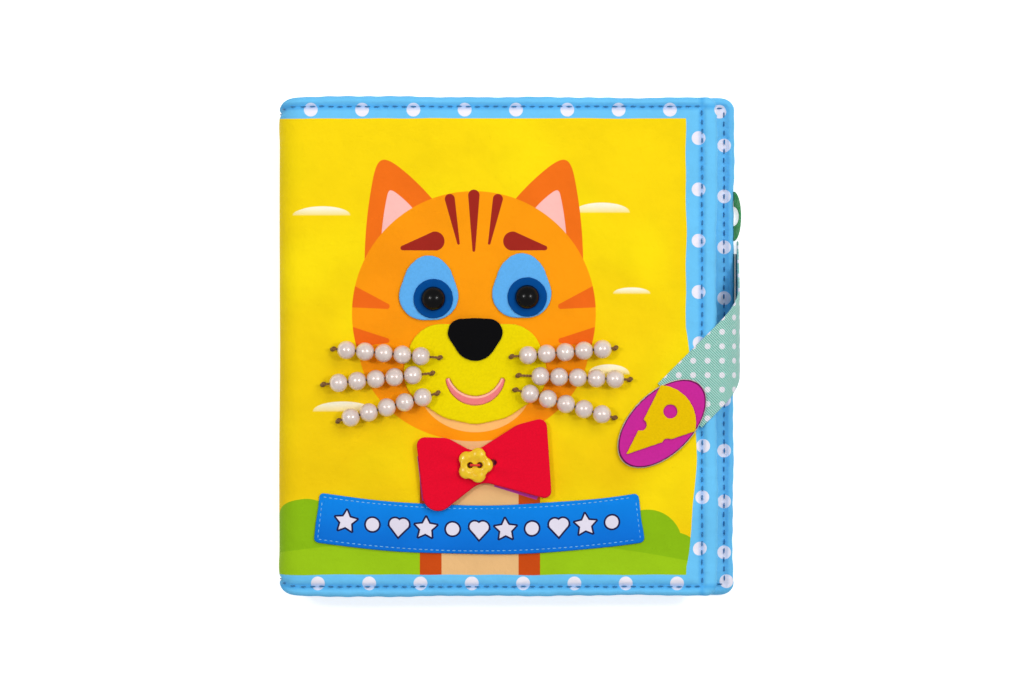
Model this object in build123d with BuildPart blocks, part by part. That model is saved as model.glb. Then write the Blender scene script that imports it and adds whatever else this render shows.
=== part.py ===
from build123d import *
import math
import os

os.makedirs("parts", exist_ok=True)

# A felt book for a small child. It lies closed on its back cover, seen from above.
# +Z is up, +Y is the head of the book, +X is the open side, and all sizes are in mm.

# Clearances
soft_gap = 0.3
bore_gap = 0.3
inlay_gap = 0.2

# Cover panels: padded cloth with a rolled rim and a sewn channel inside the rim
book_height = 218.0
cover_left = -100.0
front_right = 91.3
back_right = 99.4
cover_thickness = 5.0
cover_corner = 5.0
rim_bevel = 1.6
stitch_inset = 4.2
front_stitch_inset = 6.6
stitch_width = 1.2
stitch_depth = 0.4

# Pages: thick soft leaves sewn together at the spine
leaf_count = 4
leaf_thickness = 5.0
leaf_space = 0.5
leaf_bevel = 1.4
pages_right = 88.0
pages_height = 208.0
binding_depth = 6.0

# Felt pieces of the face on the front cover
felt = 1.2
face_x = -14.3
muzzle_brow_at = (14.5, -5.0)
muzzle_brow_radius = 15.0
muzzle_cheek_at = (16.4, -11.5)
muzzle_cheek_radius = 15.0
muzzle_jaw_at = (7.3, -16.4)
muzzle_chin_y = -18.0
muzzle_jaw_radius = 16.0
mouth_half_width = 13.0
mouth_corner_y = -14.2
mouth_end_width = 1.8
mouth_end_rise = 0.6
mouth_low_y = -25.7
mouth_width = 4.1
mouth_thickness = 0.7
nose_lobe_radius = 6.1
nose_lobe_spread = 5.9
nose_lobe_y = 6.1
nose_tip_radius = 9.4
nose_tip_y = 3.1
eye_low_radius = 10.6
eye_low_spread = 2.4
eye_high_radius = 9.0
eye_rise = 8.7
eye_left_at = (-34.6, 22.1)
eye_right_at = (6.0, 23.1)
iris_diameter = 17.3
iris_thickness = 0.8
iris_left_at = (-32.6, 20.9)
iris_right_at = (8.4, 21.6)
pupil_diameter = 10.6
pupil_height = 4.6
pupil_rim = 0.8
pupil_sides = 16
pupil_bands = 3

# Whiskers: five pearls threaded on a cord between two eyelets
pearl_diameter = 8.0
pearl_pitch = 8.15
pearl_count = 5
pearl_sides = 8
pearl_bands = 4
pearl_land = 0.24
cord_diameter = 1.0
cord_sides = 6
cord_bend = 1.2
eyelet_diameter = 2.0
eyelet_depth = 2.0

# Each whisker: its outer eyelet, its slant in degrees, and the loose cord before its first pearl's middle
# and after its last one's
whisker_rows = {
    "left_top": ((-76.8, -1.0), -4.7, 6.4, 8.7),
    "left_middle": ((-81.2, -16.6), 5.9, 7.4, 8.9),
    "left_bottom": ((-74.6, -32.6), 15.6, 6.3, 7.2),
    "right_top": ((47.4, -0.6), -175.3, 6.2, 7.7),
    "right_middle": ((53.7, -14.4), 177.9, 7.0, 10.1),
    "right_bottom": ((47.0, -31.2), 164.2, 6.3, 7.1),
}

# Bow with its buttonhole, and the flower button that it turns on
button_at = (-14.4, -51.7)
bow_angle = 7.0
bow_thickness = 2.4
bow_outline = (
    (-24.2, 15.4),
    (-10.4, 13.2),
    (0.2, 5.6),
    (20.5, 15.3),
    (33.5, 17.0),
    (31.5, -19.4),
    (1.8, -7.4),
    (-24.4, -23.3),
)
bow_radii = (3.6, 8.0, 6.0, 16.0, 3.4, 3.0, 9.0, 6.8)
buttonhole_length = 16.3
buttonhole_shift = 1.35
buttonhole_width = 2.6
petal_count = 5
petal_radius = 3.4
petal_ring = 4.5
button_core = 4.8
button_thickness = 3.0
button_hole = 1.7
button_hole_pitch = 4.2
hole_sides = 8
thread_diameter = 1.0

# Banner sewn below the bow
banner_thickness = 1.2
banner_left = -82.2
banner_right = 56.9
banner_rise = 34.4
banner_sag = 5.4
banner_width = 21.4
banner_flare = 2.6
banner_corner = 2.0

# Strap, its oval tab and the wedge on the tab
strap_width = 27.2
strap_thickness = 1.0
strap_start = 11.0
strap_end_z = 0.9
strap_stations = 8
tab_at = (67.2, -33.6)
tab_angle = 45.0
tab_length = 47.2
tab_width = 26.6
tab_thickness = 1.2
lining_thickness = 0.9
lining_margin = 0.4
wedge_thickness = 1.0
wedge_tip = (51.4, -47.2)
wedge_top = (66.6, -16.8)
wedge_side = (79.6, -24.4)
wedge_heel = (81.6, -37.0)
wedge_hole = 3.0
wedge_hole_at = (70.8, -28.3)
wedge_bites = ((58.0, -34.2), (69.6, -42.6))
wedge_bite = 2.4

# Fastening strips between the strap's end and the back cover's edge
strip_thickness = 0.5
strip_height = 3.2
strip_length = 30.0

# Ribbon loop in the back cover's open edge
loop_reach = 3.4
loop_length = 22.0
loop_eye_reach = 2.3
loop_eye_length = 8.4
loop_clear = 1.4
loop_height = 2.6

# Heights that follow from the stack
pages_bottom = cover_thickness + soft_gap
pages_top = pages_bottom + leaf_count * leaf_thickness + (leaf_count - 1) * leaf_space
front_bottom = pages_top + soft_gap
front_top = front_bottom + cover_thickness
hinge_x = cover_left + cover_thickness / 2
spine_right = cover_left + cover_thickness
muzzle_top = front_top + felt
pearl_z = muzzle_top + soft_gap + pearl_diameter / 2
bow_bottom = front_top + banner_thickness + soft_gap
bow_top = bow_bottom + bow_thickness
button_bottom = bow_top + soft_gap
button_top = button_bottom + button_thickness
strap_top = front_top + strap_thickness
lining_top = strap_top + lining_thickness
tab_top = lining_top + tab_thickness
strap_inner_x = back_right + 2 * strip_thickness + soft_gap
bend_start = front_right - rim_bevel + soft_gap
bend_radius = strap_inner_x - bend_start
bend_z = front_top - bend_radius
strap_slope = math.tan(math.radians(tab_angle))
strap_half_y = strap_width / 2 / math.cos(math.radians(tab_angle))
banner_end_y = banner_rise - book_height / 2

# Inner eyelet of each whisker, past its row of pearls
whiskers = {}
for name, (outer, slant, before, after) in whisker_rows.items():
    span = before + (pearl_count - 1) * pearl_pitch + after
    turn = math.radians(slant)
    inner = (outer[0] + span * math.cos(turn), outer[1] + span * math.sin(turn))
    whiskers[name] = (outer, inner, before)


def finish(part, name):
    part.label = name
    export_step(part, f"parts/{name}.step")


def cover_panel(bottom, right, right_inset):
    """Make a padded cover panel, round on its hinge line, with rolled free sides and a sewn channel."""
    top = bottom + cover_thickness
    middle = bottom + cover_thickness / 2
    with BuildPart() as panel:
        with BuildSketch(Plane.XZ):
            with BuildLine():
                Polyline((hinge_x, top), (right, top), (right, bottom), (hinge_x, bottom))
                ThreePointArc((hinge_x, bottom), (cover_left, middle), (hinge_x, top))
            make_face()
        extrude(amount=book_height / 2, both=True)
        fillet(panel.edges().filter_by(Axis.Z).group_by(Axis.X)[-1], cover_corner)
        flat_edges = panel.faces().filter_by(Axis.Z).edges()
        free_edges = flat_edges.filter_by(lambda edge: edge.center().X > hinge_x + rim_bevel)
        round_ends = panel.edges().filter_by(GeomType.CIRCLE).group_by(Axis.X)[0]
        chamfer(free_edges + round_ends, rim_bevel)
        channel_right = right - right_inset
        channel_head = book_height / 2 - stitch_inset
        for face_z, depth in ((top, -stitch_depth), (bottom, stitch_depth)):
            with BuildSketch(Plane.XY.offset(face_z)):
                with Locations(((hinge_x + channel_right) / 2, 0)):
                    Rectangle(channel_right - hinge_x, 2 * channel_head)
                with Locations(((hinge_x + channel_right - stitch_width) / 2, 0)):
                    Rectangle(
                        channel_right - hinge_x - stitch_width,
                        2 * (channel_head - stitch_width),
                        mode=Mode.SUBTRACT,
                    )
            extrude(amount=depth, mode=Mode.SUBTRACT)
    return panel.part


# Back cover
with BuildPart() as back_cover:
    add(cover_panel(0, back_right, stitch_inset))
finish(back_cover.part, "back_cover")

# Spine: an upright padded panel between the two hinge lines
with BuildPart() as spine:
    with BuildSketch(Plane.XY.offset(pages_bottom)):
        with Locations((hinge_x, 0)):
            Rectangle(cover_thickness, book_height)
    extrude(amount=pages_top - pages_bottom)
    chamfer(spine.faces().sort_by(Axis.X)[0].edges(), rim_bevel)
finish(spine.part, "spine")


def off_spine(edge):
    """Tell whether an edge of a leaf is on one of its three free sides."""
    return edge.center().X > spine_right + leaf_bevel


# Pages: soft leaves, softened at their edges, in one bound block
with BuildPart() as pages:
    for leaf in range(leaf_count):
        with BuildSketch(Plane.XY.offset(pages_bottom + leaf * (leaf_thickness + leaf_space))):
            with Locations(((spine_right + pages_right) / 2, 0)):
                Rectangle(pages_right - spine_right, pages_height)
        extrude(amount=leaf_thickness)
    chamfer(pages.faces().filter_by(Axis.Z).edges().filter_by(off_spine), leaf_bevel)
    with BuildSketch(Plane.XY.offset(pages_bottom)):
        with Locations((spine_right + binding_depth / 2, 0)):
            Rectangle(binding_depth, pages_height - 2 * leaf_bevel)
    extrude(amount=pages_top - pages_bottom)
finish(pages.part, "pages")

# Front cover, with an eyelet at each end of each whisker cord
with BuildPart() as front_cover:
    add(cover_panel(front_bottom, front_right, front_stitch_inset))
    with BuildSketch(Plane.XY.offset(front_top)):
        for outer, inner, first in whiskers.values():
            with Locations(outer, inner):
                RegularPolygon(eyelet_diameter / 2, cord_sides)
    extrude(amount=-eyelet_depth, mode=Mode.SUBTRACT)
finish(front_cover.part, "front_cover")


def smile_edges():
    """Draw the band of the smile, with a narrow end at each corner of the mouth."""
    inner_half_width = mouth_half_width - mouth_end_width
    inner_corner_y = mouth_corner_y + mouth_end_rise
    left = (face_x - mouth_half_width, mouth_corner_y)
    right = (face_x + mouth_half_width, mouth_corner_y)
    inner_left = (face_x - inner_half_width, inner_corner_y)
    inner_right = (face_x + inner_half_width, inner_corner_y)
    ThreePointArc(left, (face_x, mouth_low_y), right)
    Line(right, inner_right)
    ThreePointArc(inner_right, (face_x, mouth_low_y + mouth_width), inner_left)
    Line(inner_left, left)


# Muzzle: felt with the smile and the inner eyelets cut through it
with BuildPart() as muzzle:
    with BuildSketch(Plane.XY.offset(front_top)):
        for side in (-1, 1):
            with Locations((face_x + side * muzzle_brow_at[0], muzzle_brow_at[1])):
                Circle(muzzle_brow_radius)
            with Locations((face_x + side * muzzle_cheek_at[0], muzzle_cheek_at[1])):
                Circle(muzzle_cheek_radius)
            with Locations((face_x + side * muzzle_jaw_at[0], muzzle_jaw_at[1])):
                Circle(muzzle_jaw_radius)
        with Locations((face_x, muzzle_chin_y)):
            Circle(muzzle_jaw_radius)
        make_hull()
        with BuildLine():
            smile_edges()
        make_face(mode=Mode.SUBTRACT)
        for outer, inner, first in whiskers.values():
            with Locations(inner):
                RegularPolygon(eyelet_diameter / 2, cord_sides, mode=Mode.SUBTRACT)
    extrude(amount=felt)
finish(muzzle.part, "muzzle")

# Mouth: a pink inlay in the smile
with BuildPart() as mouth:
    with BuildSketch(Plane.XY.offset(front_top)):
        with BuildLine():
            smile_edges()
        make_face()
        offset(amount=-inlay_gap, kind=Kind.INTERSECTION, mode=Mode.REPLACE)
    extrude(amount=mouth_thickness)
finish(mouth.part, "mouth")

# Nose: a rounded triangle of felt on the muzzle
with BuildPart() as nose:
    with BuildSketch(Plane.XY.offset(muzzle_top)):
        with Locations((face_x, nose_lobe_y)):
            with GridLocations(2 * nose_lobe_spread, 0, 2, 1):
                Circle(nose_lobe_radius)
        with Locations((face_x, nose_tip_y)):
            Circle(nose_tip_radius)
        make_hull()
    extrude(amount=felt)
finish(nose.part, "nose")


# Eyes: felt eggs, each with a disc and a domed bead
eye_bottom = front_top
iris_bottom = eye_bottom + felt
pupil_bottom = iris_bottom + iris_thickness
dome_height = pupil_height - pupil_rim
dome_radius = ((pupil_diameter / 2) ** 2 + dome_height**2) / (2 * dome_height)
dome_z = pupil_bottom + pupil_height - dome_radius
dome_tilt = math.acos(1 - dome_height / dome_radius)
eyes = {"left": (eye_left_at, iris_left_at), "right": (eye_right_at, iris_right_at)}
for side, (eye_at, iris_at) in eyes.items():
    with BuildPart() as eye:
        with BuildSketch(Plane.XY.offset(eye_bottom)):
            with Locations(eye_at):
                with GridLocations(2 * eye_low_spread, 0, 2, 1):
                    Circle(eye_low_radius)
            with Locations((eye_at[0], eye_at[1] + eye_rise)):
                Circle(eye_high_radius)
            make_hull()
        extrude(amount=felt)
    finish(eye.part, f"eye_{side}")
    with BuildPart() as iris:
        with BuildSketch(Plane.XY.offset(iris_bottom)):
            with Locations(iris_at):
                Circle(iris_diameter / 2)
        extrude(amount=iris_thickness)
    finish(iris.part, f"iris_{side}")
    rings = [(pupil_diameter / 2, pupil_bottom)]
    for band in range(pupil_bands + 1):
        tilt = dome_tilt * (1 - band / (pupil_bands + 1))
        rings.append((dome_radius * math.sin(tilt), dome_z + dome_radius * math.cos(tilt)))
    pupil_points = []
    for reach, height in rings:
        for corner in range(pupil_sides):
            turn = 2 * math.pi * corner / pupil_sides
            pupil_x = iris_at[0] + reach * math.cos(turn)
            pupil_y = iris_at[1] + reach * math.sin(turn)
            pupil_points.append((pupil_x, pupil_y, height))
    with BuildPart() as pupil:
        ConvexPolyhedron(pupil_points)
    finish(pupil.part, f"pupil_{side}")

# Pearl: a round bead in flat facets, bored along X
pearl_radius = pearl_diameter / 2
bore_radius = cord_diameter / 2 + bore_gap
end_tilt = math.acos((bore_radius + pearl_land) / pearl_radius)
pearl_points = []
for band in range(pearl_bands + 1):
    tilt = end_tilt * (2 * band / pearl_bands - 1)
    for corner in range(pearl_sides):
        turn = 2 * math.pi * corner / pearl_sides
        reach = pearl_radius * math.cos(tilt)
        pearl_points.append((pearl_radius * math.sin(tilt), reach * math.cos(turn), reach * math.sin(turn)))
with BuildPart() as pearl:
    ConvexPolyhedron(pearl_points)
    with BuildSketch(Plane.YZ):
        RegularPolygon(bore_radius, cord_sides, major_radius=False)
    extrude(amount=pearl_radius, both=True, mode=Mode.SUBTRACT)

# Whiskers: each cord rises from one eyelet, runs level through its pearls and goes down into the other
for name, (outer, inner, first) in whiskers.items():
    span = math.dist(outer, inner)
    along = ((inner[0] - outer[0]) / span, (inner[1] - outer[1]) / span, 0)
    across = (along[1], -along[0], 0)
    level = pearl_z - front_top
    with BuildPart() as cord:
        with BuildLine(Plane(origin=(*outer, front_top), x_dir=along, z_dir=across)) as route:
            Polyline(
                (0, -eyelet_depth),
                (0, level - cord_bend),
                (cord_bend, level),
                (span - cord_bend, level),
                (span, level - cord_bend),
                (span, -eyelet_depth),
            )
        with BuildSketch(Plane(origin=(*outer, front_top - eyelet_depth), x_dir=across, z_dir=(0, 0, 1))):
            RegularPolygon(cord_diameter / 2, cord_sides)
        sweep(path=route.wires()[0], transition=Transition.RIGHT)
    finish(cord.part, f"whisker_cord_{name}")
    with BuildPart() as pearls:
        with Locations(Plane(origin=(*outer, pearl_z), x_dir=along, z_dir=(0, 0, 1))):
            for number in range(pearl_count):
                with Locations((first + number * pearl_pitch, 0, 0)):
                    add(pearl.part)
    finish(pearls.part, f"pearls_{name}")

# Bow: padded felt with a buttonhole along it
button_plane = Plane(origin=(button_at[0], button_at[1], 0))
bow_plane = button_plane.rotated((0, 0, bow_angle))
with BuildPart() as bow:
    with BuildSketch(bow_plane.offset(bow_bottom)):
        with BuildLine():
            FilletPolyline(*bow_outline, radius=bow_radii, close=True)
        make_face()
    extrude(amount=bow_thickness)
    with BuildSketch(bow_plane.offset(bow_bottom)):
        with Locations((buttonhole_shift, 0)):
            SlotOverall(buttonhole_length, buttonhole_width)
    extrude(amount=bow_thickness, mode=Mode.SUBTRACT)
finish(bow.part, "bow")

# Flower button: five round petals and two holes
with BuildPart() as flower_button:
    with BuildSketch(button_plane.offset(button_bottom)):
        Circle(button_core)
        with PolarLocations(petal_ring, petal_count):
            Circle(petal_radius)
    extrude(amount=button_thickness)
    with BuildSketch(button_plane.offset(button_bottom)):
        with GridLocations(button_hole_pitch, 0, 2, 1):
            RegularPolygon(button_hole / 2, hole_sides, major_radius=False)
    extrude(amount=button_thickness, mode=Mode.SUBTRACT)
finish(flower_button.part, "flower_button")

# Button thread: a strand down each hole to the cover and a stitch between them
with BuildPart() as button_thread:
    with BuildSketch(button_plane.offset(front_top)):
        with GridLocations(button_hole_pitch, 0, 2, 1):
            RegularPolygon(thread_diameter / 2, hole_sides)
    extrude(amount=button_top - front_top)
    with BuildSketch(button_plane.offset(button_top)):
        Rectangle(button_hole_pitch + thread_diameter, thread_diameter)
    extrude(amount=thread_diameter)
finish(button_thread.part, "button_thread")


def banner_edge(shift, spread):
    """Draw one long edge of the banner, sagging in the middle."""
    return ThreePointArc(
        (banner_left - spread, banner_end_y + shift),
        ((banner_left + banner_right) / 2, banner_end_y + shift - banner_sag),
        (banner_right + spread, banner_end_y + shift),
    )


# Banner
with BuildPart() as banner:
    with BuildSketch(Plane.XY.offset(front_top)) as banner_face:
        with BuildLine():
            upper = banner_edge(banner_width / 2, 0)
            lower = banner_edge(-banner_width / 2, banner_flare)
            Line(upper @ 0, lower @ 0)
            Line(upper @ 1, lower @ 1)
        make_face()
        fillet(banner_face.vertices(), banner_corner)
    extrude(amount=banner_thickness)
finish(banner.part, "banner")


def strap_middle(x):
    """Give the strap's middle in Y where its flattened length reaches x."""
    return tab_at[1] + (x - tab_at[0]) * strap_slope


# Strap: a ribbon that crosses the cover at a slant and bends down over its open edge
tab_plane = Plane(origin=(tab_at[0], tab_at[1], 0)).rotated((0, 0, tab_angle))
bend_length = math.pi / 2 * (bend_radius + strap_thickness / 2)
with BuildPart() as strap:
    start_high = tab_plane.from_local_coords(Vector(strap_start, strap_width / 2, 0))
    start_low = tab_plane.from_local_coords(Vector(strap_start, -strap_width / 2, 0))
    with BuildSketch(Plane.XY.offset(front_top)):
        with BuildLine():
            Polyline(
                (start_high.X, start_high.Y),
                (start_low.X, start_low.Y),
                (bend_start, strap_middle(bend_start) - strap_half_y),
                (bend_start, strap_middle(bend_start) + strap_half_y),
                close=True,
            )
        make_face()
    extrude(amount=strap_thickness)
    for station in range(strap_stations + 1):
        share = station / strap_stations
        turn = math.pi / 2 * share
        reach = bend_radius + strap_thickness / 2
        at = (
            bend_start + reach * math.sin(turn),
            strap_middle(bend_start + bend_length * share),
            bend_z + reach * math.cos(turn),
        )
        with BuildSketch(Plane(origin=at, x_dir=(0, 1, 0), z_dir=(math.cos(turn), 0, -math.sin(turn)))):
            Rectangle(2 * strap_half_y, strap_thickness)
    foot = (
        strap_inner_x + strap_thickness / 2,
        strap_middle(bend_start + bend_length + bend_z - strap_end_z),
        strap_end_z,
    )
    with BuildSketch(Plane(origin=foot, x_dir=(0, 1, 0), z_dir=(0, 0, -1))):
        Rectangle(2 * strap_half_y, strap_thickness)
    loft(ruled=True)
finish(strap.part, "strap")

# Fastening strips: one on the strap's foot and one on the back cover's edge
strip_z = cover_thickness / 2
strip_y = strap_middle(bend_start + bend_length + bend_z - strip_z)
for name, strip_x in (("hook_strip", strap_inner_x - strip_thickness), ("loop_strip", back_right)):
    with BuildPart() as strip:
        with BuildSketch(Plane.YZ.offset(strip_x)):
            with Locations((strip_y, strip_z)):
                Rectangle(strip_length, strip_height)
        extrude(amount=strip_thickness)
    finish(strip.part, name)

# Tab: a pale lining and an oval of felt on the strap's end
with BuildPart() as tab_lining:
    with BuildSketch(tab_plane.offset(strap_top)):
        Ellipse(tab_length / 2 + lining_margin, tab_width / 2 + lining_margin)
    extrude(amount=lining_thickness)
finish(tab_lining.part, "tab_lining")

with BuildPart() as tab:
    with BuildSketch(tab_plane.offset(lining_top)):
        Ellipse(tab_length / 2, tab_width / 2)
    extrude(amount=tab_thickness)
finish(tab.part, "tab")

# Cheese wedge on the tab, with a round hole and two bites
with BuildPart() as cheese:
    with BuildSketch(Plane.XY.offset(tab_top)):
        with BuildLine():
            Line(wedge_heel, wedge_tip)
            Line(wedge_tip, wedge_top)
            ThreePointArc(wedge_top, wedge_side, wedge_heel)
        make_face()
        with Locations(wedge_hole_at):
            Circle(wedge_hole, mode=Mode.SUBTRACT)
        with Locations(*wedge_bites):
            Circle(wedge_bite, mode=Mode.SUBTRACT)
    extrude(amount=wedge_thickness)
finish(cheese.part, "cheese")

# Ribbon loop: it bows out of the back cover's edge and returns, past the strap's foot, with its eye upright
loop_y = strip_y + strap_half_y + loop_clear + loop_length / 2
with BuildPart() as ribbon_loop:
    with BuildSketch(Plane.XY.offset((cover_thickness - loop_height) / 2)):
        with Locations((back_right, loop_y)):
            Ellipse(loop_reach, loop_length / 2)
            Ellipse(loop_eye_reach, loop_eye_length / 2, mode=Mode.SUBTRACT)
        with Locations((back_right - loop_reach, loop_y)):
            Rectangle(2 * loop_reach, 2 * loop_length, mode=Mode.SUBTRACT)
    extrude(amount=loop_height)
finish(ribbon_loop.part, "ribbon_loop")
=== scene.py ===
from math import asin, cos, hypot, pi, radians, sin, sqrt, tau

import bpy
import numpy as np
from mathutils import Matrix, Vector


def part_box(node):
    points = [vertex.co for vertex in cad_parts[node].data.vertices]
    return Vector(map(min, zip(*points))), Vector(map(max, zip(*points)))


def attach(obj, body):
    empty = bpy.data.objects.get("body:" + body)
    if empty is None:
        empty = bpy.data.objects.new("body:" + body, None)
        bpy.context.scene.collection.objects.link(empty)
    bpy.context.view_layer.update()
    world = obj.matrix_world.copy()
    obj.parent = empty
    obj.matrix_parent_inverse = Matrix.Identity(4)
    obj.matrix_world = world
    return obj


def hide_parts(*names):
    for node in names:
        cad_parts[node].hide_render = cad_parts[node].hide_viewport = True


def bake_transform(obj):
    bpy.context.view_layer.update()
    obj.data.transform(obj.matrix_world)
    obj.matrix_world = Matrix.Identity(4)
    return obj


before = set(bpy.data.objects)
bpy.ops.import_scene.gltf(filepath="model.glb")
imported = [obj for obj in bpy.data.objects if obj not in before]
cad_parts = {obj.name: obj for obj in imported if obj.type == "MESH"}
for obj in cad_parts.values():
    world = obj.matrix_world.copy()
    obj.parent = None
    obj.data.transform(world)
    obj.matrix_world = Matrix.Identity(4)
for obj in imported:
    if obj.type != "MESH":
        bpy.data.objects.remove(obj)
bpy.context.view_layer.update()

# A padded cloth book for a small child, closed, on its back cover.
# Lengths are in metres, and those of the print in millimetres.
MM = 0.001
UP = (0, 0, 1)
SLANT = sqrt(0.5)
front_low, front_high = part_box("front_cover")
back_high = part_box("back_cover")[1]
spine_low, spine_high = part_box("spine")
pages_low, pages_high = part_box("pages")
cover_face, half_height = front_high.z, front_high.y
cover_thickness = front_high.z - front_low.z


# Colours of the photograph, written as they look
def rgb(code):
    """Turn a colour code such as FADA00 into linear red, green and blue."""
    parts = [int(code[i : i + 2], 16) / 255 for i in (0, 2, 4)]
    return tuple(c / 12.92 if c < 0.04045 else ((c + 0.055) / 1.055) ** 2.4 for c in parts)


def rgbs(codes):
    return [rgb(code) for code in codes.split()]


YELLOW, SHADED_YELLOW, PALE_YELLOW, CLOUD_WHITE = rgbs("FCDA00 F4CA00 FFE400 FFFAE0")
BORDER_BLUE, PALE_DOT, STITCH_BLUE, SEAM_SHADE_BLUE = rgbs("6CC6F8 F4F0FC 1478B4 38A0E8")
CREAM, LEAF_GREEN, BUSH_GREEN = rgbs("F4ECD8 9CC810 8CBC0A")
HEAD_ORANGE, EAR_ORANGE, EAR_PINK, STRIPE_BROWN = rgbs("FF9C00 F47010 FFC0B8 A02418")
CHEEK_ORANGE, CHIN_PEACH, BELLY, BODY_SIDE = rgbs("F06810 FFC070 ECBC80 CC4A0A")
BOW_SHADOW, BOW_RED, BUTTON_YELLOW, THREAD_RED = rgbs("C43CA8 E8082C F0C808 F42010")
MUZZLE_YELLOW, MOUTH_PINK, MOUTH_PEACH = rgbs("EED800 F08080 FFB8A0")
SKY, NAVY, BEAD_BLACK = rgbs("60B0F0 004890 08080A")
BANNER_BLUE, BANNER_THREAD, SHAPE_PALE, SHAPE_NAVY = rgbs("0084E8 80D0FF E6E0F0 181848")
RIBBON_TEAL, TAB_MAGENTA, CHEESE, LINING = rgbs("98D6C8 C82898 E8C000 D0C0C0")
LOOP_GREEN, PEARL, CORD_BROWN, TAPE_TEAL = rgbs("34A855 ECDCD4 86561A 2C7888")


# Shader maths: a socket in an expression adds the nodes that work it out
class Value:
    def __init__(self, finish, socket):
        self.finish, self.socket = finish, socket

    def math(self, operation, *others):
        return self.finish.node("ShaderNodeMath", {"operation": operation}, (self, *others))

    def __rsub__(self, other):
        return self.finish.node("ShaderNodeMath", {"operation": "SUBTRACT"}, (other, self))

    def wrapped(self, pitch):
        return self.math("WRAP", pitch / 2, -pitch / 2)

    def ramp(self, low, high):
        """0 below low and 1 above high, smooth between them."""
        settings = {"interpolation_type": "SMOOTHSTEP"}
        return self.finish.node("ShaderNodeMapRange", settings, (self, low, high, 0.0, 1.0))

    def ink(self, edge=0.12):
        """1 above zero and 0 below it, with a narrow soft edge."""
        return self.ramp(-edge, edge)


for method, operation in {
    "__add__": "ADD", "__radd__": "ADD", "__sub__": "SUBTRACT", "__mul__": "MULTIPLY", "__rmul__": "MULTIPLY",
    "__truediv__": "DIVIDE", "__abs__": "ABSOLUTE", "__gt__": "GREATER_THAN", "__lt__": "LESS_THAN",
    "above": "MAXIMUM", "below": "MINIMUM", "sine": "SINE", "root": "SQRT",
}.items():
    setattr(Value, method, lambda self, *others, kind=operation: self.math(kind, *others))


class Finish:
    """A material under construction: a Principled shader and the nodes that feed it."""

    def __init__(self, name):
        self.material = bpy.data.materials.new(name)
        self.material.use_nodes = True
        self.tree = self.material.node_tree
        self.tree.nodes.clear()
        self.output = self.tree.nodes.new("ShaderNodeOutputMaterial")
        self.shader = self.tree.nodes.new("ShaderNodeBsdfPrincipled")
        self.tree.links.new(self.shader.outputs[0], self.output.inputs["Surface"])

    def node(self, kind, settings=None, inputs=(), output=0):
        """Add a node, set its settings, fill its sockets by place or by name, and give one output."""
        made = self.tree.nodes.new(kind)
        for key, value in (settings or {}).items():
            setattr(made, key, value)
        for key, value in inputs.items() if isinstance(inputs, dict) else enumerate(inputs):
            if value is not None:
                self.feed(made.inputs[key], value)
        return Value(self, made.outputs[output])

    def feed(self, socket, value):
        if isinstance(value, Value):
            self.tree.links.new(value.socket, socket)
        else:
            socket.default_value = (*value, 1) if socket.type == "RGBA" else value

    def place(self):
        """The object's own coordinates, in millimetres."""
        metres = self.node("ShaderNodeTexCoord", output=3)
        return self.node("ShaderNodeVectorMath", {"operation": "MULTIPLY"}, (metres, (1 / MM,) * 3))

    def parts(self, vector):
        first = self.node("ShaderNodeSeparateXYZ", inputs=(vector,))
        return [Value(self, socket) for socket in first.socket.node.outputs]

    def vector(self, x, y):
        return self.node("ShaderNodeCombineXYZ", inputs=(x, y, 0.0))

    def noise(self, vector, scale, detail=2.0, roughness=0.5):
        inputs = {"Vector": vector, "Scale": scale, "Detail": detail, "Roughness": roughness}
        return self.node("ShaderNodeTexNoise", inputs=inputs)

    def mix(self, factor, first, second):
        """A colour between first and second."""
        inputs = {0: factor, 6: first, 7: second}
        return self.node("ShaderNodeMix", {"data_type": "RGBA", "clamp_factor": True}, inputs, output=2)

    def layered(self, colour, layers):
        """A colour under layers, each a mask and its own colour."""
        for mask, over in layers:
            colour = self.mix(mask, colour, over)
        return colour

    def bump(self, height, distance, strength=1.0, normal=None):
        inputs = {"Strength": strength, "Distance": distance, "Height": height, "Normal": normal}
        return self.node("ShaderNodeBump", inputs=inputs)

    def set(self, **sockets):
        names = {"color": "Base Color", "sheen": "Sheen Weight", "coat": "Coat Weight"}
        names["specular"] = "Specular IOR Level"
        for key, value in sockets.items():
            self.feed(self.shader.inputs[names.get(key, key.replace("_", " ").title())], value)
        return self.material


# Making, shaping and placing meshes
def only(obj):
    bpy.ops.object.select_all(action="DESELECT")
    obj.hide_set(False)
    obj.select_set(True)
    bpy.context.view_layer.objects.active = obj
    return obj


def added(name, operator, place=(0, 0, 0), **settings):
    """Add a primitive under its own name, with its place in its mesh."""
    bpy.ops.object.select_all(action="DESELECT")
    operator(location=place, **settings)
    obj = bpy.context.active_object
    obj.name = obj.data.name = name
    only(obj)
    bpy.ops.object.transform_apply(location=True, rotation=True, scale=True)
    return obj


def linked(name, data):
    obj = bpy.data.objects.new(name, data)
    bpy.context.scene.collection.objects.link(obj)
    return obj


def built(name, points, edges, faces):
    mesh = bpy.data.meshes.new(name)
    mesh.from_pydata(points, edges, faces)
    return linked(name, mesh)


def edited(obj, *steps):
    """Take steps in edit mode on the whole mesh, each an operator and its settings."""
    only(obj)
    bpy.ops.object.mode_set(mode="EDIT")
    for operator, settings in steps:
        bpy.ops.mesh.select_all(action="SELECT")
        operator(**settings)
    bpy.ops.object.mode_set(mode="OBJECT")
    return obj


OUTWARD = (bpy.ops.mesh.normals_make_consistent, {"inside": False})


def modified(obj, kind, **settings):
    """Add a modifier and apply it."""
    only(obj)
    modifier = obj.modifiers.new(kind.title(), kind)
    for key, value in settings.items():
        setattr(modifier, key, value)
    bpy.ops.object.modifier_apply(modifier=modifier.name)
    return obj


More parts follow.
